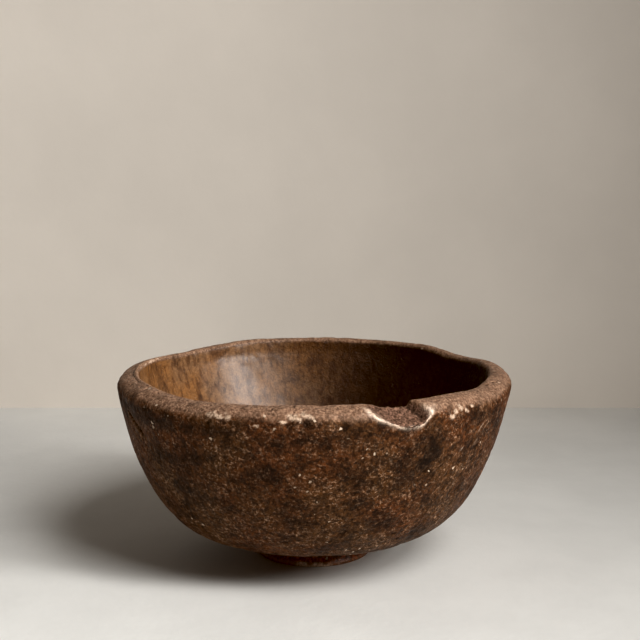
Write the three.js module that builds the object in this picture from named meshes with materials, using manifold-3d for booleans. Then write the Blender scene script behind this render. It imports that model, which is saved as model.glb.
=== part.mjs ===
// A thick-walled bowl carved from one block of stone, on a small low foot, with a flake broken out of
// its rim. Millimetres, +Z up. The origin is the middle of the foot's resting face, and the flake is on
// the -Y side, which is the bowl's front.
import * as THREE from "three";
import { mergeVertices } from "three/addons/utils/BufferGeometryUtils.js";
import Module from "manifold-3d";

// ---- Overall sizes ----
const HEIGHT = 96.5; // resting face to the crest of the rim
const MOUTH_RADIUS = 100; // the widest circle, at the shoulder under the rim

// ---- Foot and underside ----
const FOOT_RADIUS = 29;
const FOOT_HEIGHT = 9; // resting face to the underside beside the foot
const FOOT_TAPER = 1.5; // how much narrower the foot is at its root
const FOOT_EDGE = 1.2; // worn round on the resting face's edge
const FOOT_FILLET = 2.5; // hollow round between the foot and the underside
const TURN_RADIUS = 60; // where the flat underside turns up into the wall
const UNDERSIDE_RISE = 7.6; // how much higher the turn lies than the underside beside the foot
const TURN_SLOPE = THREE.MathUtils.degToRad(16.6); // the underside's rise at the turn
const TURN_FULLNESS = 0.7; // how far out the turn's own direction is carried, as a share of the way to the wall

// ---- Wall and hollow ----
const SHOULDER_DROP = 6.8; // the crest of the rim down to the widest circle
const SHOULDER_REACH = 6.5; // how far the upright shoulder is carried down into the wall
const WALL_AT_RIM = 12;
const WALL_AT_TURN = 15;
const FLOOR_THICKNESS = 12; // the underside beside the foot up to the bottom of the hollow

// ---- Rim ----
const CREST_INSET = 9.5; // the widest circle in to the crest
const INNER_LIP_DROP = 3; // the crest down to the inner wall's upper edge

// Where the rim was cut or worn lower than its crest: azimuth and half-width in degrees
const LOW_STRETCHES = [
  { azimuth: 142, halfWidth: 32, depth: 2.1 },
  { azimuth: 33, halfWidth: 17, depth: 2.3 },
  { azimuth: -125, halfWidth: 32, depth: 1.4 },
  { azimuth: -31, halfWidth: 17, depth: 1.3 },
];
const LOW_STRETCH_REACH = 34; // how far down the wall the lowering fades out

// ---- The flake broken out of the rim ----
const FLAKE_AZIMUTH = THREE.MathUtils.degToRad(-63); // from +X, anticlockwise seen from above
const FLAKE_DEPTH = 10; // below the crest, where the break leaves the outer wall
const FLAKE_TILT = THREE.MathUtils.degToRad(30); // how steeply the break falls outwards
const FLAKE_RISE = 11; // how high the break's two sides are taken, square to its floor
const FLAKE_GENTLE_SIDE = 30; // along the rim, from the deepest line to the top of that rise
const FLAKE_STEEP_SIDE = 23;

// ---- Chips along the rim's outer edge ----
const CHIPS = [
  { azimuth: 36, length: 9, depth: 1.2 },
  { azimuth: -112, length: 12, depth: 0.9 },
  { azimuth: -93, length: 9, depth: 0.8 },
];
const CHIP_ROUND = 4; // the radius of a chip's hollow, across the rim

// ---- The old gouge in the side wall ----
const GOUGE_AZIMUTH = THREE.MathUtils.degToRad(-151);
const GOUGE_HEIGHT = 77; // its middle, above the resting face
const GOUGE_LENGTH = 15;
const GOUGE_WIDTH = 2.2;
const GOUGE_DEPTH = 1.8;
const GOUGE_LEAN = THREE.MathUtils.degToRad(50); // its lower end is turned towards the front

// ---- How finely round stretches are cut into facets ----
const AROUND = 88;
const BELLY_STEPS = 13;
const FLOOR_STEPS = 7;
const RIM_STEPS = 5;
const SMALL_STEPS = 3;
const FLAKE_STEPS = 10;
const BALL_STEPS = 16;
const CLEAR = 5; // how far a cutter runs past the surface that it opens

const TURN_HEIGHT = FOOT_HEIGHT + UNDERSIDE_RISE;
const FLOOR_HEIGHT = FOOT_HEIGHT + FLOOR_THICKNESS;
const SHOULDER_HEIGHT = HEIGHT - SHOULDER_DROP;
const CREST_RADIUS = MOUTH_RADIUS - CREST_INSET;
const HOLLOW_RADIUS = MOUTH_RADIUS - WALL_AT_RIM;

const wasm = await Module();
wasm.setup();

// The wall's outer face, from the turn of the underside up to the widest circle.
function bellyCurve() {
  const turn = new THREE.Vector2(TURN_RADIUS, TURN_HEIGHT);
  const reach = TURN_FULLNESS * (MOUTH_RADIUS - TURN_RADIUS);
  const leaving = new THREE.Vector2(Math.cos(TURN_SLOPE), Math.sin(TURN_SLOPE)).multiplyScalar(reach);
  return new THREE.CubicBezierCurve(
    turn,
    turn.clone().add(leaving),
    new THREE.Vector2(MOUTH_RADIUS, SHOULDER_HEIGHT - SHOULDER_REACH),
    new THREE.Vector2(MOUTH_RADIUS, SHOULDER_HEIGHT),
  );
}

// The foot and the flat underside, from the axis out to the turn.
function undersidePoints() {
  const root = FOOT_RADIUS - FOOT_TAPER;
  const edge = new THREE.QuadraticBezierCurve(
    new THREE.Vector2(FOOT_RADIUS - FOOT_EDGE, 0),
    new THREE.Vector2(FOOT_RADIUS, 0),
    new THREE.Vector2(FOOT_RADIUS, FOOT_EDGE),
  );
  const fillet = new THREE.QuadraticBezierCurve(
    new THREE.Vector2(root, FOOT_HEIGHT - FOOT_FILLET),
    new THREE.Vector2(root, FOOT_HEIGHT),
    new THREE.Vector2(root + FOOT_FILLET, FOOT_HEIGHT),
  );
  return [new THREE.Vector2(0, 0), ...edge.getPoints(SMALL_STEPS), ...fillet.getPoints(SMALL_STEPS)];
}

// The rim, from the widest circle over the crest and a crisp inner lip to the inner wall's upper edge.
function rimPoints() {
  const outerRound = new THREE.EllipseCurve(
    CREST_RADIUS,
    SHOULDER_HEIGHT,
    CREST_INSET,
    SHOULDER_DROP,
    0,
    Math.PI / 2,
  );
  const innerRound = new THREE.QuadraticBezierCurve(
    new THREE.Vector2(CREST_RADIUS, HEIGHT),
    new THREE.Vector2(HOLLOW_RADIUS, HEIGHT),
    new THREE.Vector2(HOLLOW_RADIUS, HEIGHT - INNER_LIP_DROP),
  );
  return [...outerRound.getPoints(RIM_STEPS).slice(1), ...innerRound.getPoints(SMALL_STEPS).slice(1)];
}

// The hollow: the belly's own curve moved in by the wall's thickness, then the floor to the axis.
function hollowPoints(belly) {
  const wall = [];
  for (let i = BELLY_STEPS - 1; i >= 0; i--) {
    const t = i / BELLY_STEPS;
    const along = belly.getTangent(t);
    const inward = new THREE.Vector2(-along.y, along.x);
    const thickness = THREE.MathUtils.lerp(WALL_AT_TURN, WALL_AT_RIM, t);
    wall.push(belly.getPoint(t).addScaledVector(inward, thickness));
  }
  const start = wall[wall.length - 1];
  const downhill = belly.getTangent(0).negate();
  const middle = new THREE.Vector2(0, FLOOR_HEIGHT);
  const handle = start.x / 3;
  const floor = new THREE.CubicBezierCurve(
    start,
    start.clone().addScaledVector(downhill, handle),
    new THREE.Vector2(handle, FLOOR_HEIGHT),
    middle,
  );
  return [...wall, ...floor.getPoints(FLOOR_STEPS).slice(1)];
}

// A closed mesh as a solid that can be cut.
function solidOf(geometry) {
  const bare = geometry.clone();
  bare.deleteAttribute("normal");
  bare.deleteAttribute("uv");
  const merged = mergeVertices(bare, 1e-4);
  return new wasm.Manifold(
    new wasm.Mesh({
      numProp: 3,
      vertProperties: merged.attributes.position.array,
      triVerts: new Uint32Array(merged.index.array),
    }),
  );
}

// A solid as a geometry with flat-shaded faces.
function geometryOf(solid) {
  const mesh = solid.getMesh();
  const geometry = new THREE.BufferGeometry();
  geometry.setAttribute("position", new THREE.BufferAttribute(mesh.vertProperties, mesh.numProp));
  geometry.setIndex(new THREE.BufferAttribute(mesh.triVerts, 1));
  const faceted = geometry.toNonIndexed();
  faceted.computeVertexNormals();
  return faceted;
}

// How far the rim lies under its crest at an azimuth.
function rimLowering(azimuth) {
  let lowering = 0;
  for (const { azimuth: middle, halfWidth, depth } of LOW_STRETCHES) {
    const turn = THREE.MathUtils.euclideanModulo(azimuth - middle + 180, 360) - 180;
    const share = Math.min(Math.abs(turn) / halfWidth, 1);
    lowering += (depth * (1 + Math.cos(Math.PI * share))) / 2;
  }
  return lowering;
}

// Lets the rim down along its low stretches, less and less towards the wall below.
function lowerRim(geometry) {
  const points = geometry.attributes.position;
  for (let i = 0; i < points.count; i++) {
    const azimuth = THREE.MathUtils.radToDeg(Math.atan2(points.getY(i), points.getX(i)));
    const share = THREE.MathUtils.smoothstep(points.getZ(i), HEIGHT - LOW_STRETCH_REACH, HEIGHT);
    points.setZ(i, points.getZ(i) - share * rimLowering(azimuth));
  }
}

// The bowl before any damage: its outline turned about the axis.
function wholeBowl() {
  const belly = bellyCurve();
  const outline = [
    ...undersidePoints(),
    ...belly.getPoints(BELLY_STEPS),
    ...rimPoints(),
    ...hollowPoints(belly),
  ];
  const turned = new THREE.LatheGeometry(outline, AROUND);
  turned.rotateX(Math.PI / 2);
  lowerRim(turned);
  return solidOf(turned);
}

// A frame on the bowl's side: local X runs along the rim, local Y up, local Z outwards.
function sideFrame(azimuth, radius, height) {
  const outward = new THREE.Vector3(Math.cos(azimuth), Math.sin(azimuth), 0);
  const up = new THREE.Vector3(0, 0, 1);
  const alongRim = new THREE.Vector3().crossVectors(up, outward);
  const place = new THREE.Matrix4().makeBasis(alongRim, up, outward);
  return place.setPosition(outward.x * radius, outward.y * radius, height);
}

// What the flake took away: a trough, gentle on one side and steep on the other, that falls outwards.
function flakeCutter() {
  const gentle = new THREE.QuadraticBezierCurve(
    new THREE.Vector2(-FLAKE_GENTLE_SIDE, FLAKE_RISE),
    new THREE.Vector2(-FLAKE_GENTLE_SIDE / 2, 0),
    new THREE.Vector2(0, 0),
  );
  const steep = new THREE.QuadraticBezierCurve(
    new THREE.Vector2(0, 0),
    new THREE.Vector2(FLAKE_STEEP_SIDE / 5, 0),
    new THREE.Vector2(FLAKE_STEEP_SIDE, FLAKE_RISE),
  );
  const section = new THREE.Shape([
    ...gentle.getPoints(FLAKE_STEPS),
    ...steep.getPoints(FLAKE_STEPS).slice(1),
    new THREE.Vector2(FLAKE_STEEP_SIDE, FLAKE_RISE + CLEAR),
    new THREE.Vector2(-FLAKE_GENTLE_SIDE, FLAKE_RISE + CLEAR),
  ]);
  const length = 3 * WALL_AT_RIM + 2 * CLEAR;
  const trough = new THREE.ExtrudeGeometry(section, { depth: length, bevelEnabled: false, steps: 1 });
  trough.translate(0, 0, -length + 2 * CLEAR);
  trough.rotateX(FLAKE_TILT);
  trough.applyMatrix4(sideFrame(FLAKE_AZIMUTH, MOUTH_RADIUS, HEIGHT - FLAKE_DEPTH));
  return solidOf(trough);
}

// A chip: an ellipsoid that dips into the rounded outer edge of the rim, at its corner.
function chipCutter({ azimuth, length, depth }) {
  const ball = new THREE.SphereGeometry(1, BALL_STEPS, BALL_STEPS / 2);
  ball.scale(length / 2, CHIP_ROUND, CHIP_ROUND);
  const corner = Math.SQRT1_2; // the direction halfway between outwards and up
  const standOff = (CHIP_ROUND - depth) * corner;
  const radius = CREST_RADIUS + CREST_INSET * corner + standOff;
  const level = SHOULDER_HEIGHT + SHOULDER_DROP * corner - rimLowering(azimuth) + standOff;
  ball.applyMatrix4(sideFrame(THREE.MathUtils.degToRad(azimuth), radius, level));
  return solidOf(ball);
}

// The outer wall's radius at a height, found on the belly's curve.
function wallRadiusAt(height) {
  const points = bellyCurve().getPoints(200);
  return points.find((p) => p.y >= height).x;
}

// The gouge: a thin lens pressed into the wall.
function gougeCutter() {
  const lens = new THREE.SphereGeometry(1, BALL_STEPS, BALL_STEPS / 2);
  lens.scale(GOUGE_WIDTH / 2, GOUGE_LENGTH / 2, GOUGE_DEPTH);
  lens.rotateZ(GOUGE_LEAN);
  lens.applyMatrix4(sideFrame(GOUGE_AZIMUTH, wallRadiusAt(GOUGE_HEIGHT), GOUGE_HEIGHT));
  return solidOf(lens);
}

// Brown-stained stone under an old waxed surface.
function stone() {
  return new THREE.MeshStandardMaterial({ color: 0x5a3d29, roughness: 0.42, metalness: 0 });
}

function bowl() {
  const cutters = [flakeCutter(), gougeCutter(), ...CHIPS.map(chipCutter)];
  const cut = cutters.reduce((left, cutter) => left.subtract(cutter), wholeBowl());
  const mesh = new THREE.Mesh(geometryOf(cut), stone());
  mesh.name = "bowl";
  return mesh;
}

const object = new THREE.Group();
object.name = "stone_bowl";
object.add(bowl());

export default object;
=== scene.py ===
"""Looks for a thick-walled bowl carved from one block of coarse brown-stained stone.

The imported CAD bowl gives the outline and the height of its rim. This script turns that outline into a
fine mesh, wears and breaks it as the real one is worn and broken, and gives it its waxed brown patina.
Everything is in metres, +Z up, with the break in the rim at the front (-Y), towards +X.
"""

import math

import bpy
import numpy as np
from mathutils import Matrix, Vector


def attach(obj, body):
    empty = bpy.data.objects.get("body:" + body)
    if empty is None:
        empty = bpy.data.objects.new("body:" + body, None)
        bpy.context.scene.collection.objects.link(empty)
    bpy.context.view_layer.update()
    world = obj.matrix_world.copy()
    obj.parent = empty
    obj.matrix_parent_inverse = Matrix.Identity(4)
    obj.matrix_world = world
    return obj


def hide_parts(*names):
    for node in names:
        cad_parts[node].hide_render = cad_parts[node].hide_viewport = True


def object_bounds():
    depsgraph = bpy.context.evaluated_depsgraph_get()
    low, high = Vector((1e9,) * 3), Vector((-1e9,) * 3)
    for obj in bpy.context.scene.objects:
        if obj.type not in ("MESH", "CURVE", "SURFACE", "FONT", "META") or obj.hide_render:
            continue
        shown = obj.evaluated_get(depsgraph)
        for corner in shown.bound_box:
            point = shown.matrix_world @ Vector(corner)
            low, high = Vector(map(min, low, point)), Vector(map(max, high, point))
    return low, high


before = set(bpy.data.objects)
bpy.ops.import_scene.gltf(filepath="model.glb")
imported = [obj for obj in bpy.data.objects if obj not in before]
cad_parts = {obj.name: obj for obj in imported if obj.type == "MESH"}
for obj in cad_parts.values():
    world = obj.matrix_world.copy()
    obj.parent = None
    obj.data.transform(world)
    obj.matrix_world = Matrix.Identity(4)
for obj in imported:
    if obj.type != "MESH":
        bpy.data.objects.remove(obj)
cad_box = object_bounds()

MM = 0.001
NODE = "bowl"

MOUTH_RADIUS = cad_box[1][0]
RIM_TOP = cad_box[1][2]
WALL_RADIUS = 0.98 * MOUTH_RADIUS  # of the outer wall where its marks are
OUTER_EDGE_RADIUS = 0.97 * MOUTH_RADIUS
INNER_EDGE_RADIUS = 0.88 * MOUTH_RADIUS
FOOT_RADIUS = 0.29 * MOUTH_RADIUS

# ---- How finely the bowl is meshed ----
COLUMNS = 600  # round the rim and the outer wall; fewer inside and under it
HALF_COLUMNS_WITHIN = 0.57 * MOUTH_RADIUS  # rings smaller than this get half the columns
QUARTER_COLUMNS_WITHIN = 0.26 * MOUTH_RADIUS
FINE_INSIDE = 10 * MM  # below the rim, how far down the inside keeps all its columns
EXTRA_COLUMNS_AT_BREAK = 1.2  # how many more columns the break gets than an even share
BREAK_COLUMNS_SPREAD = math.radians(14)
ROW_RIM = 0.7 * MM
ROW_WALL = 1.3 * MM
ROW_INSIDE = 2.0 * MM
ROW_HIDDEN = 3.0 * MM
RIM_ZONE = 14 * MM  # below the crest, where the fine rows stop
LOWERING_REACH = 34 * MM  # how far below the crest the low stretches of the rim fade out
CURVE_STEPS = 24  # points added between two corners of the CAD outline
SAME_PLACE = 0.02  # mm, for finding the CAD's corners again

# ---- Hand carving, each as depth and the size of its hollows ----
BROAD_HOLLOWS = (0.8 * MM, 55 * MM)  # depth and size
DRESSED_HOLLOWS = (0.6 * MM, 13 * MM)
FINE_HOLLOWS = (0.35 * MM, 4.0 * MM)
QUIET_INSIDE = 0.4  # the share of the finer hollows that the worn inside keeps
LEFT_SHOULDER = 1.2 * MM  # how much more is cut away high on the left side
PIT_DEPTH = 0.55 * MM
PIT_SIZE = 3.2 * MM

# ---- A worn stretch of the rim, beside the low one that the CAD has at the back on the right ----
WORN_STRETCH_AZIMUTH = math.radians(21)
WORN_STRETCH_SPREAD = math.radians(8)
WORN_STRETCH_DEPTH = 1.1 * MM

# ---- Chips along the rim ----
CHIP_AZIMUTHS = [-118, -112, -105, -96, -92, -83, -44, -40, 24, 133, 150]  # the larger ones, in degrees
SMALL_CHIPS = 22
INNER_CHIPS = 40
CHIP_DROP = 11 * MM  # along the outline, from the crest to the rim's outer edge
CHIP_HEIGHT = 3.2 * MM
INNER_CHIP_DROP = 3.0 * MM
INNER_CHIP_HEIGHT = 1.8 * MM

# ---- The break in the rim, where the CAD has it ----
BREAK_AZIMUTH = math.radians(-63)
BREAK_DEPTH = 10 * MM  # below the crest, at the outer wall
BREAK_TILT = math.tan(math.radians(30))
BREAK_GENTLE_SIDE = 21.6 * MM
BREAK_GENTLE_RISE = 6.7 * MM
BREAK_STEEP_START = 2 * MM
BREAK_STEEP_END = 14 * MM
BREAK_STEEP_RISE = 8 * MM
BREAK_EDGE = 1.1 * MM  # how softly the break's edges are worn
BREAK_SET_IN = (3.5 * MM, -5.3 * MM)  # how the steep side's start and end move, inside the wall
BREAK_SHIFT = 3.5 * MM  # how far the whole break moves along the rim, inside the wall
BREAK_LUMPS = (0.55 * MM, 5 * MM)  # depth and size
BREAK_GRAIN = (0.35 * MM, 1.8 * MM)
BREAK_REACH = (20 * MM, 34 * MM)  # along the rim, where the broken face ends
CLEAR_OF_RIM = 40 * MM  # added to the broken face away from the break
LIP_WIDTH = 1.4 * MM  # of the pale worn lip on the outer side of the break, which also carries a painted highlight
LIP_REACH = 20 * MM  # below the crest, where the lip ends at the latest

# ---- The gouge in the left wall ----
GOUGE_TOP = (-156, 82)  # azimuth in degrees and height in mm of its two ends
GOUGE_BOTTOM = (-147.5, 73)
GOUGE_HALF_WIDTH = 1.0 * MM
GOUGE_DEPTH = 1.7 * MM
GOUGE_HOLLOW = 9 * MM  # the shallow worn hollow around it
GOUGE_HOLLOW_DEPTH = 1.0 * MM

# ---- Where the zones of the patina fade into each other ----
RIM_STARTS = (-12.5 * MM, -8 * MM)  # along the outline from the crest, on the outside
RIM_ENDS = (2.8 * MM, 4.2 * MM)  # the same on the inside
FOOT_ENDS = (11 * MM, 8 * MM)  # height
DARK_FROM = (8 * MM, 60 * MM)  # radius
FULL_HOLLOW = 0.12 * MM  # how far below its neighbours a point lies in a full hollow

# ---- Bare stone and stains, painted glints and painted shade ----
BARE_AND_GLINT_SPOTS = [  # azimuth in degrees, height and radius in mm
    (-117.5, 91.6, 1.2),
    (-116, 92.2, 1.3),
    (-114.2, 91.4, 1.0),
    (-112.4, 92, 1.2),
    (-95.5, 93.2, 1.2),
    (-93.6, 92.6, 1.3),
    (-91.8, 93.6, 1.7),
    (-90, 92.9, 1.0),
    (-97.5, 91, 0.9),
    (-104, 88.5, 0.9),
    (-51, 88.5, 1.5),
    (-49.2, 90.2, 1.2),
    (-47.5, 91.8, 1.5),
    (-45, 89.6, 1.2),
    (-42, 91.4, 1.0),
]
# azimuth in degrees and height in mm of their two ends
SCRATCHES = [((-33, 80), (-39, 70)), ((-35.5, 81), (-38, 76.5)), ((-42, 73), (-45, 69.5))]
SCRATCH_HALF_WIDTH = 0.6 * MM
FOOT_EDGE_BARE_AND_GLINT = (math.radians(-88), math.radians(24))  # azimuth and spread of the worn foot edge, also painted pale as a glint
FOOT_EDGE_BARE_AND_GLINT_HEIGHT = 2.2 * MM
BARE_LIP = (math.radians(168), 0.25)  # azimuth and spread, in radians, of the pale inner lip
BARE_LIP_RADIUS = 0.886 * MOUTH_RADIUS
BARE_LIP_HEIGHT = RIM_TOP - 1.5 * MM
BARE_LIP_SPREAD = 0.9 * MM
DARK_SPOT = (math.radians(-56.5), 71 * MM)  # azimuth and height
DARK_SPOT_SIZE = (5 * MM, 8 * MM)
DARK_BAND = (math.radians(-143), 85 * MM)
DARK_BAND_SPREAD = math.radians(26)
DARK_BAND_HEIGHT = 4.5 * MM
PAINTED_SHADE_SIDE = math.radians(18)  # azimuth of the inside's side that gets the most painted shade

# ---- Camera, stage and lights, in metres ----
CAMERA_PLACE = (3.3 * MM, -640.7 * MM, 218.7 * MM)
CAMERA_DIP = 0.152  # radians below the horizontal
LENS = 72
SENSOR = 36
FLOOR_SIDE = 2.5  # from the middle of the floor to its edges
WALL_BACK = 0.335  # how far behind the bowl the wall stands
WALL_LEFT = -0.256  # the wall is only as wide and high as the camera sees from the front
WALL_RIGHT = 0.262
WALL_HEIGHT = 0.36
LIGHT_DISTANCE = 1.25
LIGHT_AIM = (-0.96, -0.16, 0)
LIGHT_SPREAD = math.radians(98)
LIGHT_COLOUR = (1, 0.99, 0.98)
WINDOW = {"turn": -55, "rise": 48, "size": (0.46, 0.6), "power": 7.5}
WINDOW_SIDE = {"turn": -31, "rise": 26, "size": (0.24, 0.36), "power": 4.3}
ROOM_COLOUR = (1, 0.93, 0.85, 1)
ROOM_STRENGTH = 0.13
GAMMA = 0.82
BLACK_LEVEL = (0.0, 0.0055, 0.0085)


# =====================================================================================================
# Noise and small curves
# =====================================================================================================


def smooth_noise(points, size, seed):
    """Gradient noise from about -1 to 1, in lumps about size across."""
    rng = np.random.default_rng(seed)
    order = rng.permutation(256)
    slopes = rng.normal(size=(256, 3))
    slopes /= np.linalg.norm(slopes, axis=1, keepdims=True)
    cell = points / size
    base = np.floor(cell).astype(int)
    part = cell - base
    ease = part**3 * (part * (part * 6 - 15) + 10)
    total = np.zeros(len(points))
    for corner in np.ndindex(2, 2, 2):
        at = (base + corner) & 255
        pick = order[(order[(order[at[:, 0]] + at[:, 1]) & 255] + at[:, 2]) & 255]
        slope = (slopes[pick] * (part - corner)).sum(axis=1)
        weight = np.prod(np.where(corner, ease, 1 - ease), axis=1)
        total += weight * slope
    return total * 1.7


def layered_noise(points, size, seed, layers):
    """Noise with finer and weaker layers on top of each other."""
    total = np.zeros(len(points))
    for layer in range(layers):
        total += smooth_noise(points, size / 2**layer, seed + layer) / 2**layer
    return total


def smoothstep(low, high, value):
    share = np.clip((value - low) / (high - low), 0, 1)
    return share * share * (3 - 2 * share)


def gaussian(offset):
    """1 where offset is zero, fading to nothing over a few units."""
    return np.exp(-(offset**2))


def soft_min(a, b, blend):
    """The lower of a and b, with the corner where they cross rounded over."""
    share = np.clip(0.5 + 0.5 * (b - a) / blend, 0, 1)
    return b * (1 - share) + a * share - blend * share * (1 - share)


def turn_between(azimuth, middle):
    """Signed angle from middle to azimuth, by the shorter way."""
    return (azimuth - middle + math.pi) % (2 * math.pi) - math.pi


# =====================================================================================================
# The bowl's outline, read from the CAD
# =====================================================================================================


def cad_outline(mesh):
    """The CAD bowl's outline as (radius, height) points, from under the foot over the rim to the floor.

    The CAD bowl is turned about Z, so its edges that lie in the +Y half plane are its outline.
    """
    place = [tuple(round(c / MM, 2) for c in v.co) for v in mesh.vertices]
    in_plane = [abs(x) < SAME_PLACE and y > -SAME_PLACE / 2 for x, y, z in place]
    links = {}
    for edge in mesh.edges:
        a, b = edge.vertices
        if in_plane[a] and in_plane[b] and place[a] != place[b]:
            links.setdefault(place[a][1:], set()).add(place[b][1:])
            links.setdefault(place[b][1:], set()).add(place[a][1:])
    start = min((p for p in links if abs(p[0]) < SAME_PLACE), key=lambda p: p[1])
    outline = [start]
    while True:
        onward = links[outline[-1]] - set(outline)
        if not onward:
            break
        outline.append(min(onward, key=lambda p: math.dist(p, outline[-1])))
    return np.array(outline) * MM


def cad_crest(mesh, crest_radius):
    """Azimuths and heights of the CAD's crest line. The break in the rim is a gap in it."""
    crest = [v.co for v in mesh.vertices if abs(math.hypot(v.co.x, v.co.y) - crest_radius) < 0.05 * MM]
    crest = [c for c in crest if c.z > RIM_TOP - 5 * MM]
    azimuth = np.array([math.atan2(c.y, c.x) for c in crest])
    height = np.array([c.z for c in crest])
    order = np.argsort(azimuth)
    return azimuth[order], height[order]


def smooth_outline(outline):
    """Distance along the outline, and its points resampled finely along a Catmull-Rom curve."""
    padded = np.vstack([2 * outline[0] - outline[1], outline, 2 * outline[-1] - outline[-2]])
    fine = []
    for before, start, end, after in zip(padded, padded[1:], padded[2:], padded[3:]):
        t = np.linspace(0, 1, CURVE_STEPS, endpoint=False)[:, None]
        span = np.linalg.norm(end - start)
        into = (end - before) / (span + np.linalg.norm(start - before)) * span
        out = (after - start) / (np.linalg.norm(after - end) + span) * span
        fine.append(
            (2 * t**3 - 3 * t**2 + 1) * start
            + (t**3 - 2 * t**2 + t) * into
            + (3 * t**2 - 2 * t**3) * end
            + (t**3 - t**2) * out
        )
    fine = np.vstack(fine + [outline[-1:]])
    fine[:, 1] = np.maximum(fine[:, 1], 0)
    along = np.concatenate([[0], np.cumsum(np.linalg.norm(np.diff(fine, axis=0), axis=1))])
    return along, fine


def rows_of(along, fine):
    """Rows of the mesh: (radius, height), their normals, and whether each lies inside the hollow."""
    top = fine[:, 1].max()
    crest = along[fine[:, 1].argmax()]
    inside = along > crest
    step = np.where(inside, ROW_INSIDE, ROW_WALL)
    step = np.where(fine[:, 1] > top - RIM_ZONE, ROW_RIM, step)
    step = np.where(inside & (fine[:, 0] < 0.5 * fine[:, 0].max()), ROW_HIDDEN, step)
    step = np.where(fine[:, 1] < 0.1 * MM, ROW_HIDDEN, step)
    count = np.concatenate([[0], np.cumsum(np.diff(along) / step[1:])])
    at = np.interp(np.linspace(0, count[-1], round(count[-1])), count, along)
    radius = np.interp(at, along, fine[:, 0])
    height = np.interp(at, along, fine[:, 1])
    ahead = np.gradient(np.c_[radius, height], at, axis=0)
    normal = np.c_[ahead[:, 1], -ahead[:, 0]]
    normal /= np.linalg.norm(normal, axis=1, keepdims=True)
    return np.c_[radius, height], normal, at > crest


def column_azimuths():
    """Azimuths of the columns, closer together at the break."""
    even = np.linspace(-math.pi, math.pi, 4001)
    near = gaussian(turn_between(even, BREAK_AZIMUTH) / BREAK_COLUMNS_SPREAD)
    share = np.cumsum(1 + EXTRA_COLUMNS_AT_BREAK * near)
    share = (share - share[0]) / (share[-1] - share[0])
    return np.interp(np.arange(COLUMNS) / COLUMNS, share, even)


# =====================================================================================================
# Hand work, wear and damage
# =====================================================================================================


def hand_carved(points, azimuth, height, inside):
    """How far hand carving leaves the surface short of the true turned form, in shallow hollows."""
    broad = BROAD_HOLLOWS[0] * np.maximum(0, layered_noise(points, BROAD_HOLLOWS[1], 11, 2))
    upright = points * (1, 1, 0.6)
    dressed = DRESSED_HOLLOWS[0] * np.maximum(0, layered_noise(upright, DRESSED_HOLLOWS[1], 21, 2))
    fine = FINE_HOLLOWS[0] * np.maximum(0, layered_noise(points, FINE_HOLLOWS[1], 31, 2))
    left_side = gaussian(turn_between(azimuth, math.pi) / 0.5)
    left_side = left_side * smoothstep(50 * MM, 80 * MM, height)
    quiet = np.where(inside, QUIET_INSIDE, 1.0)
    return broad + quiet * (dressed + fine) + np.where(inside, 0, LEFT_SHOULDER) * left_side


def pits(points, inside):
    """Small pits where crystals have dropped out of the outer face."""
    field = smooth_noise(points, PIT_SIZE, 41)
    deep = smoothstep(0.35, 0.75, field)
    patchy = smoothstep(-0.3, 0.5, smooth_noise(points, 22 * MM, 47))
    return PIT_DEPTH * deep * patchy * np.where(inside, 0.3, 1)


def edge_nibbles(points, azimuth, from_crest, inside):
    """Chips along the rim's two edges: most along the outer one, small ones along the inner lip."""
    rng = np.random.default_rng(5)
    loss = np.zeros(len(points))
    outer_places = CHIP_AZIMUTHS + list(rng.uniform(-180, 180, SMALL_CHIPS))
    for number, degrees in enumerate(outer_places):
        wide = rng.uniform(2.0, 5.0) * MM
        deep = rng.uniform(0.35, 1.1) * MM * (1 if number < len(CHIP_AZIMUTHS) else 0.6)
        down = rng.uniform(-1.5, 2.5) * MM
        along = turn_between(azimuth, math.radians(degrees)) * OUTER_EDGE_RADIUS
        reach = (along / wide) ** 2 + ((from_crest + CHIP_DROP + down) / CHIP_HEIGHT) ** 2
        loss += np.where(inside, 0, deep * np.exp(-reach))
    for degrees in rng.uniform(-180, 180, INNER_CHIPS):
        wide = rng.uniform(1.0, 3.0) * MM
        deep = rng.uniform(0.15, 0.55) * MM
        along = turn_between(azimuth, math.radians(degrees)) * INNER_EDGE_RADIUS
        reach = (along / wide) ** 2 + ((from_crest - INNER_CHIP_DROP) / INNER_CHIP_HEIGHT) ** 2
        loss += deep * np.exp(-reach)
    return loss


def off_line(azimuth, height, start, end):
    """Distance from a straight line on the wall, and how far along it from 0 to 1.

    start and end are (azimuth in degrees, height in mm).
    """
    start = np.array([math.radians(start[0]) * WALL_RADIUS, start[1] * MM])
    end = np.array([math.radians(end[0]) * WALL_RADIUS, end[1] * MM])
    middle = (start[0] + end[0]) / 2
    along = turn_between(azimuth, middle / WALL_RADIUS) * WALL_RADIUS + middle
    spot = np.c_[along, height]
    share = np.clip(((spot - start) @ (end - start)) / ((end - start) @ (end - start)), 0, 1)
    return np.linalg.norm(spot - start - share[:, None] * (end - start), axis=1), share


def gouge(azimuth, height, inside):
    """How deep the old slit and the worn hollow around it are, and where the slit is, for the slit's
    painted shade.
    """
    off, share = off_line(azimuth, height, GOUGE_TOP, GOUGE_BOTTOM)
    thin = GOUGE_HALF_WIDTH * (0.35 + 1.3 * np.sqrt(share * (1 - share)))
    slit = np.where(inside, 0, gaussian(off / thin))
    hollow = np.where(inside, 0, gaussian(off / GOUGE_HOLLOW))
    return GOUGE_DEPTH * slit + GOUGE_HOLLOW_DEPTH * hollow, slit


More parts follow.
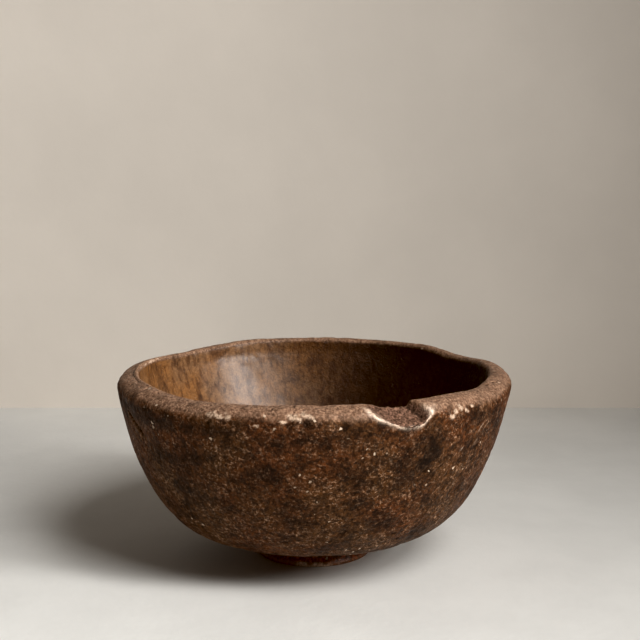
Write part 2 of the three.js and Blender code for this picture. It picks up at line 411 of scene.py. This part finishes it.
def bare_stone_and_glints(points, azimuth, height, radius, inside):
    """1 where the patina is knocked or scratched off and the pale stone shows, and where glints along the
    front of the rim and of the foot are painted pale.
    """
    ragged = layered_noise(points, 2.4 * MM, 91, 3)
    bare_and_glint = np.zeros(len(points))
    for degrees, level, size in BARE_AND_GLINT_SPOTS:
        off, _ = off_line(azimuth, height, (degrees - 0.4, level + 0.3), (degrees + 0.4, level - 0.3))
        bare_and_glint = np.maximum(bare_and_glint, np.where(inside, 0, gaussian(off / (size * MM))))
    for start, end in SCRATCHES:
        off, _ = off_line(azimuth, height, start, end)
        bare_and_glint = np.maximum(bare_and_glint, np.where(inside, 0, 0.6 * gaussian(off / SCRATCH_HALF_WIDTH)))
    around_foot = turn_between(azimuth, FOOT_EDGE_BARE_AND_GLINT[0]) / FOOT_EDGE_BARE_AND_GLINT[1]
    foot_edge = gaussian((radius / FOOT_RADIUS - 1) / 0.03) * gaussian(height / FOOT_EDGE_BARE_AND_GLINT_HEIGHT)
    bare_and_glint = np.maximum(bare_and_glint, 1.6 * foot_edge * gaussian(around_foot))
    off_lip = np.hypot(points[:, 0], points[:, 1]) - BARE_LIP_RADIUS
    lip = gaussian(off_lip / BARE_LIP_SPREAD) * gaussian((height - BARE_LIP_HEIGHT) / BARE_LIP_SPREAD)
    bare_and_glint = np.maximum(bare_and_glint, 0.7 * lip * gaussian(turn_between(azimuth, BARE_LIP[0]) / BARE_LIP[1]))
    return smoothstep(0.35, 0.85, bare_and_glint + 0.5 * ragged - 0.1) * smoothstep(0.05, 0.3, bare_and_glint)


def darkening(points, azimuth, height, inside):
    """Dark stains: a spot under the break, and a band under the rim on the left."""
    ragged = layered_noise(points, 7 * MM, 71, 4)
    across = turn_between(azimuth, DARK_SPOT[0]) * OUTER_EDGE_RADIUS
    spot = (across / DARK_SPOT_SIZE[0]) ** 2 + ((height - DARK_SPOT[1]) / DARK_SPOT_SIZE[1]) ** 2
    spot = smoothstep(2.2, 0.2, spot - 1.1 * ragged)
    along = turn_between(azimuth, DARK_BAND[0]) / DARK_BAND_SPREAD
    band = along**2 + ((height - DARK_BAND[1]) / DARK_BAND_HEIGHT) ** 2
    band = 0.8 * smoothstep(1.8, 0.1, band - 0.9 * ragged)
    return np.where(inside, 0, np.maximum(spot, band))


def break_floor(points, top):
    """Height of the broken face over each point, far above the rim away from the break."""
    outward = np.array([math.cos(BREAK_AZIMUTH), math.sin(BREAK_AZIMUTH)])
    along_rim = np.array([-outward[1], outward[0]])
    w = points[:, :2] @ outward
    u = points[:, :2] @ along_rim
    u = u + BREAK_SHIFT * smoothstep(MOUTH_RADIUS, MOUTH_RADIUS - 13 * MM, w)
    floor = top - BREAK_DEPTH + BREAK_TILT * (MOUTH_RADIUS - w)
    gentle = BREAK_GENTLE_RISE * (np.minimum(u, 0) / BREAK_GENTLE_SIDE) ** 2
    set_in = smoothstep(MOUTH_RADIUS - 1 * MM, MOUTH_RADIUS - 4 * MM, w)
    start = BREAK_STEEP_START + BREAK_SET_IN[0] * set_in
    end = BREAK_STEEP_END + BREAK_SET_IN[1] * set_in
    steep = BREAK_STEEP_RISE * smoothstep(start, end, u)
    rough = BREAK_LUMPS[0] * layered_noise(points, BREAK_LUMPS[1], 61, 3)
    rough = rough + BREAK_GRAIN[0] * smooth_noise(points, BREAK_GRAIN[1], 67)
    away = CLEAR_OF_RIM * (smoothstep(*BREAK_REACH, np.abs(u)) + (w < 0))
    return floor + gentle + steep + rough + away


# =====================================================================================================
# Building the mesh
# =====================================================================================================


def ring_columns(point, inside, top):
    """How many columns a row has: all on the outer wall and rim, half or a quarter elsewhere."""
    radius, height = point
    if radius < QUARTER_COLUMNS_WITHIN:
        return COLUMNS // 4
    if radius < HALF_COLUMNS_WITHIN or (inside and height < top - FINE_INSIDE):
        return COLUMNS // 2
    return COLUMNS


def stitch(lower, upper):
    """Faces between two rings of vertex numbers, one of which may have twice as many as the other."""
    faces = []
    if len(lower) == len(upper):
        for i in range(len(lower)):
            j = (i + 1) % len(lower)
            faces.append((lower[i], lower[j], upper[j], upper[i]))
        return faces
    flipped = len(upper) > len(lower)
    few, many = (lower, upper) if flipped else (upper, lower)
    for i in range(len(few)):
        j = (i + 1) % len(few)
        a, b, c = many[2 * i], many[2 * i + 1], many[(2 * i + 2) % len(many)]
        fan = [(a, b, few[i]), (b, few[j], few[i]), (b, c, few[j])]
        faces += [face[::-1] for face in fan] if flipped else fan
    return faces


def mesh_layout(rows, inside, top):
    """Row and column of every vertex, and the faces between them."""
    azimuths = column_azimuths()
    row_of = [0]
    azimuth_of = [0.0]
    faces = []
    previous = None
    for row in range(1, len(rows) - 1):
        count = ring_columns(rows[row], inside[row], top)
        first = len(row_of)
        ring = list(range(first, first + count))
        row_of += [row] * count
        azimuth_of += list(azimuths[:: COLUMNS // count])
        if previous is None:
            faces += [(0, ring[(i + 1) % count], ring[i]) for i in range(count)]
        else:
            faces += stitch(previous, ring)
        previous = ring
    last = len(row_of)
    row_of.append(len(rows) - 1)
    azimuth_of.append(0.0)
    faces += [(last, previous[i], previous[(i + 1) % len(previous)]) for i in range(len(previous))]
    return np.array(row_of), np.array(azimuth_of), faces


def low_stretches(cad, azimuth, crest_radius, top):
    """How far the rim lies below its highest point: as in the CAD, and a worn stretch beside that."""
    crest_azimuth, crest_height = cad_crest(cad, crest_radius)
    lowering = top - np.interp(azimuth, crest_azimuth, crest_height, period=2 * math.pi)
    beside = turn_between(azimuth, WORN_STRETCH_AZIMUTH) / WORN_STRETCH_SPREAD
    return lowering + WORN_STRETCH_DEPTH * gaussian(beside)


def break_rim(points, height, top):
    """Breaks the flake out of the rim. Returns where the stone is broken, and the worn lip outside that,
    which also gets a painted highlight.
    """
    floor = break_floor(points, top)
    whole = points[:, 2].copy()
    points[:, 2] = soft_min(points[:, 2], floor, BREAK_EDGE)
    broken = smoothstep(0.2 * MM, 1.0 * MM, whole - points[:, 2])
    reach = np.hypot(points[:, 0], points[:, 1])
    outer_part = smoothstep(MOUTH_RADIUS - 7 * MM, MOUTH_RADIUS - 2.5 * MM, reach)
    lip = gaussian((whole - floor) / LIP_WIDTH) * outer_part * (height > top - LIP_REACH)
    return broken, lip


def rim_and_inside(points, from_crest, inside):
    """Where the top of the rim is, with a ragged edge, and where the inside is."""
    ragged = 1.2 * MM * layered_noise(points, 5 * MM, 83, 3)
    rim = smoothstep(*RIM_STARTS, from_crest + ragged)
    rim = rim * smoothstep(*RIM_ENDS[::-1], from_crest + 0.3 * ragged)
    return rim, np.where(inside, smoothstep(*RIM_ENDS, from_crest), 0)


def make_bowl(material):
    """The bowl's visible mesh, with the wear and stains its material needs as attributes."""
    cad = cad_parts[NODE].data
    along, fine = smooth_outline(cad_outline(cad))
    crest_radius, top = fine[fine[:, 1].argmax()]
    rows, row_normals, row_inside = rows_of(along, fine)
    row_of, azimuth, faces = mesh_layout(rows, row_inside, top)
    row_along = np.concatenate([[0], np.cumsum(np.linalg.norm(np.diff(rows, axis=0), axis=1))])

    radius, height = rows[row_of].T
    inside = row_inside[row_of]
    from_crest = row_along[row_of] - row_along[rows[:, 1].argmax()]
    lowering = low_stretches(cad, azimuth, crest_radius, top)
    height = height - lowering * smoothstep(top - LOWERING_REACH, top, height)
    outward = np.c_[np.cos(azimuth), np.sin(azimuth)]
    points = np.c_[outward * radius[:, None], height]
    normals = np.c_[outward * row_normals[row_of][:, :1], row_normals[row_of][:, 1]]

    gouged, slit = gouge(azimuth, height, inside)
    worn = hand_carved(points, azimuth, height, inside) + pits(points, inside)
    worn = worn + edge_nibbles(points, azimuth, from_crest, inside) + gouged
    worn = worn * smoothstep(0.5 * MM, 4 * MM, height)
    points = points - normals * worn[:, None]
    broken, lip = break_rim(points, height, top)

    mesh = bpy.data.meshes.new("stone_bowl")
    mesh.from_pydata(points.tolist(), [], faces)
    mesh.validate()
    mesh.shade_smooth()
    rim, within = rim_and_inside(points, from_crest, inside)
    off_painted_shade_side = np.abs(turn_between(azimuth, PAINTED_SHADE_SIDE))
    add_attribute(mesh, "inside", within)
    add_attribute(mesh, "rim", rim)
    add_attribute(mesh, "broken", broken)
    add_attribute(mesh, "lip", lip)
    # dark stains, and painted shade in the gouge's slit
    add_attribute(mesh, "darkening", np.maximum(darkening(points, azimuth, height, inside), slit))
    # bare stone, and painted glints on the front edges of the rim and foot
    add_attribute(mesh, "bare_and_glint", bare_stone_and_glints(points, azimuth, height, radius, inside))
    add_attribute(mesh, "foot", np.where(inside, 0, smoothstep(*FOOT_ENDS, height)))
    # painted shade on the inside's right side, away from the window
    add_attribute(mesh, "inside_painted_shade", smoothstep(1.9, 0.7, off_painted_shade_side) * smoothstep(*DARK_FROM, radius))
    add_attribute(mesh, "hollowness", hollowness(mesh, points))
    mesh.materials.append(material)
    bowl = bpy.data.objects.new("stone_bowl", mesh)
    bpy.context.scene.collection.objects.link(bowl)
    return bowl


def hollowness(mesh, points):
    """0 on ridges to 1 in hollows, from how far each vertex lies below the mean of its neighbours."""
    ends = np.zeros(len(mesh.edges) * 2, np.int32)
    mesh.edges.foreach_get("vertices", ends)
    a, b = ends.reshape(-1, 2).T
    total = np.zeros_like(points)
    count = np.zeros(len(points))
    for one, other in ((a, b), (b, a)):
        np.add.at(total, one, points[other])
        np.add.at(count, one, 1)
    normals = np.zeros(len(points) * 3, np.float32)
    mesh.vertices.foreach_get("normal", normals)
    offset = total / count[:, None] - points
    below = (offset * normals.reshape(-1, 3)).sum(axis=1)
    around = np.zeros(len(points))
    for one, other in ((a, b), (b, a)):
        np.add.at(around, one, below[other])
    smooth = 0.5 * below + 0.5 * around / count
    return np.clip(0.5 + 0.5 * smooth / FULL_HOLLOW, 0, 1)


def add_attribute(mesh, name, values):
    layer = mesh.attributes.new(name, "FLOAT", "POINT")
    layer.data.foreach_set("value", np.asarray(values, np.float32))


# =====================================================================================================
# Materials
# =====================================================================================================


def srgb(red, green, blue):
    """A linear colour with alpha from 0 to 255 display values."""

    def linear(value):
        value /= 255
        return value / 12.92 if value <= 0.04045 else ((value + 0.055) / 1.055) ** 2.4

    return (linear(red), linear(green), linear(blue), 1)


class Nodes:
    """Short calls for building a material's node tree."""

    def __init__(self, name):
        self.material = bpy.data.materials.new(name)
        self.material.use_nodes = True
        self.tree = self.material.node_tree
        self.shader = self.tree.nodes["Principled BSDF"]
        self.place = self.add("ShaderNodeTexCoord").outputs["Object"]

    def add(self, kind, **settings):
        node = self.tree.nodes.new(kind)
        for name, value in settings.items():
            setattr(node, name, value)
        return node

    def feed(self, socket, value):
        if isinstance(value, bpy.types.NodeSocket):
            self.tree.links.new(value, socket)
        else:
            socket.default_value = value

    def math(self, operation, a, b, clamp=False):
        node = self.add("ShaderNodeMath", operation=operation, use_clamp=clamp)
        self.feed(node.inputs[0], a)
        self.feed(node.inputs[1], b)
        return node.outputs[0]

    def attribute(self, name):
        return self.add("ShaderNodeAttribute", attribute_name=name).outputs["Fac"]

    def stretched(self, x, y, z):
        node = self.add("ShaderNodeMapping")
        self.feed(node.inputs["Vector"], self.place)
        node.inputs["Scale"].default_value = (x, y, z)
        return node.outputs[0]

    def noise(self, size, detail=2.0, rough=0.5, place=None):
        node = self.add("ShaderNodeTexNoise")
        self.feed(node.inputs["Vector"], place or self.place)
        node.inputs["Scale"].default_value = 1 / size
        node.inputs["Detail"].default_value = detail
        node.inputs["Roughness"].default_value = rough
        return node.outputs["Fac"]

    def cells(self, size):
        """A random value from 0 to 1 for each crystal of about this size."""
        node = self.add("ShaderNodeTexVoronoi", feature="F1")
        self.feed(node.inputs["Vector"], self.place)
        node.inputs["Scale"].default_value = 1 / size
        return self.red(node.outputs["Color"])

    def range(self, value, low, high, to_low=0.0, to_high=1.0):
        node = self.add("ShaderNodeMapRange", interpolation_type="SMOOTHSTEP")
        self.feed(node.inputs["Value"], value)
        node.inputs["From Min"].default_value = low
        node.inputs["From Max"].default_value = high
        node.inputs["To Min"].default_value = to_low
        node.inputs["To Max"].default_value = to_high
        return node.outputs["Result"]

    def mix(self, share, a, b, blend="MIX"):
        node = self.add("ShaderNodeMix", data_type="RGBA", blend_type=blend)
        colour_a, colour_b, result = node.inputs[6], node.inputs[7], node.outputs[2]
        self.feed(node.inputs["Factor"], share)
        self.feed(colour_a, a)
        self.feed(colour_b, b)
        return result

    def grain(self):
        """Tone of each crystal, from 0 to 1, in two sizes laid over each other."""
        coarse = self.math("MULTIPLY", self.cells(1.7 * MM), 0.55)
        fine = self.math("MULTIPLY", self.cells(0.8 * MM), 0.45)
        return self.math("ADD", coarse, fine)

    def painted_glints(self):
        """1 on the few crystals that get a painted glint and are glossier, 0 elsewhere."""
        rare = self.range(self.cells(1.1 * MM), 0.990, 0.994)
        gathered = self.range(self.noise(26 * MM, detail=2), 0.50, 0.62)
        return self.math("MULTIPLY", rare, gathered)

    def grey(self, value):
        node = self.add("ShaderNodeCombineColor")
        for socket in node.inputs[:3]:
            self.feed(socket, value)
        return node.outputs[0]

    def red(self, colour):
        node = self.add("ShaderNodeSeparateColor")
        self.feed(node.inputs[0], colour)
        return node.outputs[0]

    def bump(self, height, distance, strength=1.0, under=None):
        node = self.add("ShaderNodeBump")
        self.feed(node.inputs["Height"], height)
        node.inputs["Distance"].default_value = distance
        node.inputs["Strength"].default_value = strength
        if under is not None:
            self.feed(node.inputs["Normal"], under)
        return node.outputs["Normal"]


OUTER_BROWN = srgb(92, 54, 27)
OUTER_OLIVE = srgb(84, 56, 31)
OUTER_DARK = srgb(30, 13, 5)
PALE_CRYSTAL = srgb(184, 152, 126)
INNER_GOLD = srgb(146, 104, 62)
INNER_TAN = srgb(140, 106, 74)
INNER_STREAK = srgb(78, 44, 18)
INNER_CLOUD = srgb(60, 32, 14)
# painted shade for the inside's right side
INNER_PAINTED_SHADE = srgb(32, 8, 2)
FOOT_DARK = srgb(76, 30, 10)
FOOT_RED = srgb(142, 76, 42)
WORN_DARK = srgb(122, 94, 76)
WORN_PALE = srgb(178, 146, 122)
FRESH_DARK = srgb(70, 50, 38)
FRESH_PALE = srgb(146, 114, 96)
# worn pale lip of the break, painted lighter still as a highlight
WORN_LIP_AND_HIGHLIGHT = srgb(240, 216, 194)
# dark stains, and painted shade for the gouge's slit
STAIN_AND_SHADE_BLACK = srgb(20, 11, 7)
# painted shade for the hollows
HOLLOW_PAINTED_SHADE = srgb(24, 12, 6)
RUBBED_RIDGE = srgb(170, 134, 104)
# pale bare stone, also used for painted glints on the rim's and foot's front edges
BARE_STONE_AND_GLINT = srgb(226, 200, 176)
# painted glints in single crystals
PAINTED_GLINT_WHITE = srgb(236, 214, 190)
FLOOR_WHITE = srgb(218, 217, 213)
WALL_GREY = srgb(215, 208, 199)


def stone_material():
    """Coarse crystalline stone under a brown, waxed patina."""
    n = Nodes("patinated_stone")
    inside = n.attribute("inside")
    rim = n.attribute("rim")
    lip = n.attribute("lip")
    grain = n.grain()
    glint = n.math("MULTIPLY", n.painted_glints(), n.math("SUBTRACT", 1.0, inside))
    n.feed(n.shader.inputs["Base Color"], stone_colour(n, inside, rim, lip, grain, glint))
    n.feed(n.shader.inputs["Roughness"], stone_roughness(n, inside, lip, glint))
    n.feed(n.shader.inputs["Coat Weight"], wax_coat(n, inside, lip))
    n.shader.inputs["Specular IOR Level"].default_value = 0.15
    n.shader.inputs["Coat Roughness"].default_value = 0.37
    relief = n.bump(n.noise(2.6 * MM, detail=6, rough=0.68), 1.7 * MM, 0.85)
    n.feed(n.shader.inputs["Normal"], n.bump(grain, 0.14 * MM, 0.8, relief))
    return n.material


def stone_colour(n, inside, rim, lip, grain, glint):
    """The patina, with what wear, breakage and stains do to it laid over it in turn, then painted shade,
    highlights and glints.
    """
    patch = n.noise(34 * MM, detail=3)
    mottle = n.noise(17 * MM, detail=9, rough=0.7, place=n.stretched(1, 1, 1.15))
    freckle = n.noise(1.4 * MM, detail=5, rough=0.75)
    fleck = n.noise(1.1 * MM, detail=3, rough=0.7)
    hollow = n.attribute("hollowness")

    colour = n.mix(inside, outer_patina(n, patch, mottle, freckle), inner_patina(n, patch, mottle))
    foot = n.mix(n.range(freckle, 0.4, 0.62), FOOT_DARK, FOOT_RED)
    colour = n.mix(n.attribute("foot"), colour, foot)
    worn_top = n.mix(n.range(fleck, 0.36, 0.66), WORN_DARK, WORN_PALE)
    worn_share = n.range(mottle, 0.36, 0.50, 0.6, 0.95)
    colour = n.mix(n.math("MULTIPLY", rim, worn_share), colour, worn_top)
    fresh = n.mix(n.range(fleck, 0.36, 0.64), FRESH_DARK, FRESH_PALE)
    colour = n.mix(n.attribute("broken"), colour, fresh)
    lip_share = n.range(freckle, 0.30, 0.55, 0.4, 1.0)
    # the break's worn lip, painted pale with a highlight
    colour = n.mix(n.math("MULTIPLY", lip, lip_share), colour, WORN_LIP_AND_HIGHLIGHT)
    # dark stains, and painted shade in the gouge's slit
    colour = n.mix(n.math("MULTIPLY", n.attribute("darkening"), 0.85), colour, STAIN_AND_SHADE_BLACK)

    smooth = n.math("MAXIMUM", inside, n.math("MULTIPLY", rim, 0.9))
    grain_share = n.math("SUBTRACT", 1.0, n.math("MULTIPLY", smooth, 0.68))
    colour = n.mix(grain_share, colour, n.grey(n.range(grain, 0.1, 0.9, 0.4, 1.45)), "MULTIPLY")
    # painted shade darkens the hollows
    colour = n.mix(n.range(hollow, 0.58, 0.95, 0, 0.6), colour, HOLLOW_PAINTED_SHADE)
    colour = n.mix(n.range(hollow, 0.42, 0.10, 0, 0.3), colour, RUBBED_RIDGE)
    # bare pale stone, and painted glints along the rim's and the foot's front edges
    bare_and_glint_share = n.range(fleck, 0.35, 0.55, 0.35, 1.0)
    colour = n.mix(n.math("MULTIPLY", n.attribute("bare_and_glint"), bare_and_glint_share), colour, BARE_STONE_AND_GLINT)
    # painted glints: single crystals painted near white where they would catch the window
    return n.mix(n.math("MULTIPLY", glint, 0.8), colour, PAINTED_GLINT_WHITE)


def stone_roughness(n, inside, lip, glint):
    """Dull outside, smoother inside, on the polished lip of the break and on the glinting crystals."""
    rough = n.range(n.noise(4 * MM, detail=4, rough=0.65), 0.32, 0.68, 0.46, 0.74)
    rough = n.math("SUBTRACT", rough, n.math("MULTIPLY", inside, 0.24))
    rough = n.math("SUBTRACT", rough, n.math("MULTIPLY", lip, 0.26))
    return n.math("SUBTRACT", rough, n.math("MULTIPLY", glint, 0.2), clamp=True)


def wax_coat(n, inside, lip):
    """Most wax is inside, less where the inside has painted shade, some on the lip and foot, and little
    outside.
    """
    outside_painted_shade = n.math("SUBTRACT", 1.0, n.math("MULTIPLY", n.attribute("inside_painted_shade"), 0.8))
    wax = n.math("ADD", 0.1, n.math("MULTIPLY", n.math("MULTIPLY", inside, outside_painted_shade), 0.78))
    handled = n.math("MULTIPLY", n.math("ADD", lip, n.attribute("foot")), 0.5)
    return n.math("ADD", wax, handled, clamp=True)


def outer_patina(n, patch, mottle, freckle):
    """Dark brown outside, redder or more olive in patches, with paler crystals showing through."""
    colour = n.mix(n.range(patch, 0.36, 0.64), OUTER_BROWN, OUTER_OLIVE)
    colour = n.mix(n.range(mottle, 0.55, 0.36, 0, 0.8), colour, OUTER_DARK)
    gathered = n.range(n.noise(7 * MM, detail=3, rough=0.6), 0.36, 0.62, 0.25, 1.0)
    pale = n.math("MULTIPLY", n.range(freckle, 0.50, 0.64), n.range(mottle, 0.40, 0.60, 0.3, 0.95))
    return n.mix(n.math("MULTIPLY", pale, gathered), colour, PALE_CRYSTAL)


def inner_patina(n, patch, mottle):
    """Golden brown inside, with upright tool streaks, darker clouds, and painted shade on one side."""
    streak = n.noise(3.2 * MM, detail=5, rough=0.65, place=n.stretched(1, 1, 0.2))
    colour = n.mix(n.range(patch, 0.38, 0.62), INNER_GOLD, INNER_TAN)
    colour = n.mix(n.range(streak, 0.56, 0.36, 0, 0.65), colour, INNER_STREAK)
    colour = n.mix(n.range(mottle, 0.48, 0.34, 0, 0.65), colour, INNER_CLOUD)
    # painted shade darkens the inside's right side
    return n.mix(n.math("MULTIPLY", n.attribute("inside_painted_shade"), 0.92), colour, INNER_PAINTED_SHADE)


def plaster(name, colour, lump):
    """Plain pale limewash for the floor and the wall behind."""
    n = Nodes(name)
    cloud = n.noise(lump, detail=5, rough=0.55)
    paler = tuple(min(1, c * 1.06) for c in colour[:3]) + (1,)
    n.feed(n.shader.inputs["Base Color"], n.mix(n.range(cloud, 0.3, 0.7), colour, paler))
    n.shader.inputs["Roughness"].default_value = 0.75
    n.feed(n.shader.inputs["Normal"], n.bump(n.noise(lump / 12, detail=6), 0.6 * MM, 0.25))
    return n.material


# =====================================================================================================
# Stage, lights and camera
# =====================================================================================================


def sheet(name, corners, material):
    mesh = bpy.data.meshes.new(name)
    mesh.from_pydata(corners, [], [(0, 1, 2, 3)])
    mesh.materials.append(material)
    piece = bpy.data.objects.new(name, mesh)
    bpy.context.scene.collection.objects.link(piece)


def make_stage():
    """A pale floor and the pale wall behind it, which leaves the bowl in sight from behind."""
    left, right = -FLOOR_SIDE, FLOOR_SIDE
    floor = [(left, left, 0), (right, left, 0), (right, right, 0), (left, right, 0)]
    sheet("floor", floor, plaster("floor_plaster", FLOOR_WHITE, 60 * MM))
    wall = [
        (WALL_LEFT, WALL_BACK, 0),
        (WALL_RIGHT, WALL_BACK, 0),
        (WALL_RIGHT, WALL_BACK, WALL_HEIGHT),
        (WALL_LEFT, WALL_BACK, WALL_HEIGHT),
    ]
    sheet("wall", wall, plaster("wall_plaster", WALL_GREY, 120 * MM))


def window_light(name, turn, rise, size, power):
    """A soft light seen from the bowl at this azimuth and height, in degrees."""
    turn, rise = math.radians(turn), math.radians(rise)
    towards = Vector((math.cos(rise) * math.cos(turn), math.cos(rise) * math.sin(turn), math.sin(rise)))
    light = bpy.data.lights.new(name, "AREA")
    light.shape = "RECTANGLE"
    light.size, light.size_y = size
    light.energy = power
    light.color = LIGHT_COLOUR
    light.spread = LIGHT_SPREAD
    lamp = bpy.data.objects.new(name, light)
    lamp.location = Vector((0, 0, 50 * MM)) + LIGHT_DISTANCE * towards
    lamp.rotation_euler = (Vector(LIGHT_AIM) - lamp.location).to_track_quat("-Z", "Y").to_euler()
    bpy.context.scene.collection.objects.link(lamp)


def make_lights():
    """A tall window in front and to the right, its lower side part, and the weak light of the room."""
    window_light("window", **WINDOW)
    window_light("window_side", **WINDOW_SIDE)
    world = bpy.data.worlds.new("room_light")
    bpy.context.scene.world = world
    world.use_nodes = True
    background = world.node_tree.nodes["Background"]
    background.inputs["Color"].default_value = ROOM_COLOUR
    background.inputs["Strength"].default_value = ROOM_STRENGTH


def make_camera():
    camera = bpy.data.cameras.new("camera")
    camera.lens = LENS
    camera.sensor_width = SENSOR
    camera.clip_start = 0.01
    view = bpy.data.objects.new("camera", camera)
    view.location = CAMERA_PLACE
    view.rotation_euler = (math.pi / 2 - CAMERA_DIP, 0, 0)
    bpy.context.scene.collection.objects.link(view)
    bpy.context.scene.camera = view


def deepen_shadows(settings):
    """Deep, slightly warm dark tones, as of a room lit by one window."""
    settings.view_transform = "Standard"
    settings.gamma = GAMMA
    settings.use_curve_mapping = True
    settings.curve_mapping.black_level = BLACK_LEVEL
    settings.curve_mapping.update()


bowl = make_bowl(stone_material())
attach(bowl, "root")
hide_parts(NODE)

make_stage()
make_lights()
make_camera()
deepen_shadows(bpy.context.scene.view_settings)
